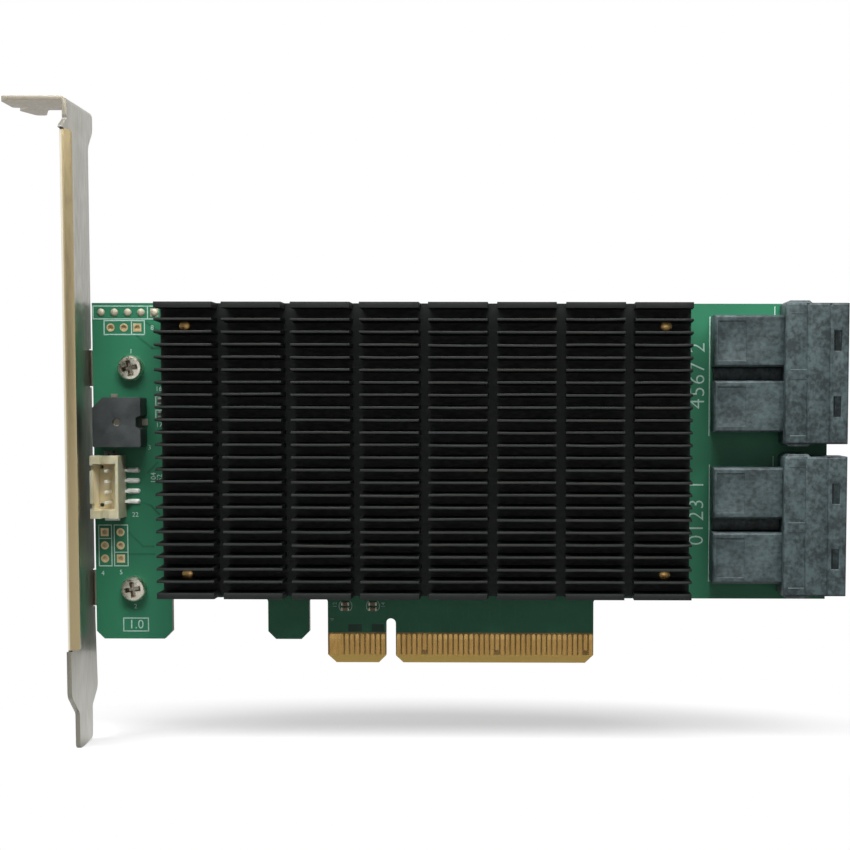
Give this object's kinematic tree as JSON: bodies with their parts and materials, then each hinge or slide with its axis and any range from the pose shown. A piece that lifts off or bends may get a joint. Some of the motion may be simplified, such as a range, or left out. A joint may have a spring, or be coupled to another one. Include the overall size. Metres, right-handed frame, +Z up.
{
  "type": "storage controller card",
  "caption": "Storage controller card for an expansion slot: green board on a full-height bracket, black cross-cut heat sink, dual-port cable connectors, buzzer and small header.",
  "frame": {"origin": "centre of the key notch, at the foot of the contact edge, on the board's component face", "axes": "+X along the board away from the bracket, -Y out of the component face, +Z up from the contact edge"},
  "size_m": [0.1557, 0.0214, 0.1206],
  "materials": {
    "board_green": "solder mask over glass laminate",
    "edge_gold": "gold-plated copper",
    "bracket_steel": "nickel-plated steel sheet",
    "screw_nickel": "nickel plate",
    "fin_black": "black anodised",
    "screw_brass": "plain brass",
    "connector_grey": "glass-filled moulding",
    "contact_gold": "gold-plated spring strip",
    "tail_tin": "tin plate",
    "buzzer_black": "moulded",
    "disc_cream": "plain",
    "header_nylon": "unfilled nylon",
    "chip_black": "moulded epoxy",
    "chip_carrier": "laminate",
    "lid_nickel": "nickel plate",
    "pad_grey": "filled silicone",
    "ferrite_grey": "pressed powder",
    "capacitor_brown": "fired ceramic",
    "resistor_black": "glazed film"
  },
  "bodies": {
    "root": {"circuit_board": "board_green", "edge_contacts_front": "edge_gold", "edge_contacts_back": "edge_gold", "header_solder": "tail_tin", "bracket": "bracket_steel", "bracket_screws": "screw_nickel", "heat_sink": "fin_black", "heat_sink_screws": "screw_brass", "controller_carrier": "chip_carrier", "controller_lid": "lid_nickel", "thermal_pad": "pad_grey", "flash_chip": "chip_black", "crystal": "lid_nickel", "power_inductors": "ferrite_grey", "voltage_regulators": "chip_black", "chip_capacitor_bodies": "capacitor_brown", "chip_capacitor_ends": "tail_tin", "chip_resistor_bodies": "resistor_black", "chip_resistor_ends": "tail_tin", "bulk_capacitor_bodies": "capacitor_brown", "bulk_capacitor_ends": "tail_tin", "buzzer_case": "buzzer_black", "buzzer_disc": "disc_cream", "buzzer_leads": "tail_tin", "header_housing": "header_nylon", "header_pins": "tail_tin", "header_fixing_tabs": "tail_tin", "upper_shroud": "connector_grey", "upper_housing_1": "connector_grey", "upper_contacts_1": "contact_gold", "upper_tails_1": "tail_tin", "upper_housing_2": "connector_grey", "upper_contacts_2": "contact_gold", "upper_tails_2": "tail_tin", "lower_shroud": "connector_grey", "lower_housing_1": "connector_grey", "lower_contacts_1": "contact_gold", "lower_tails_1": "tail_tin", "lower_housing_2": "connector_grey", "lower_contacts_2": "contact_gold", "lower_tails_2": "tail_tin"}
  },
  "joints": []
}
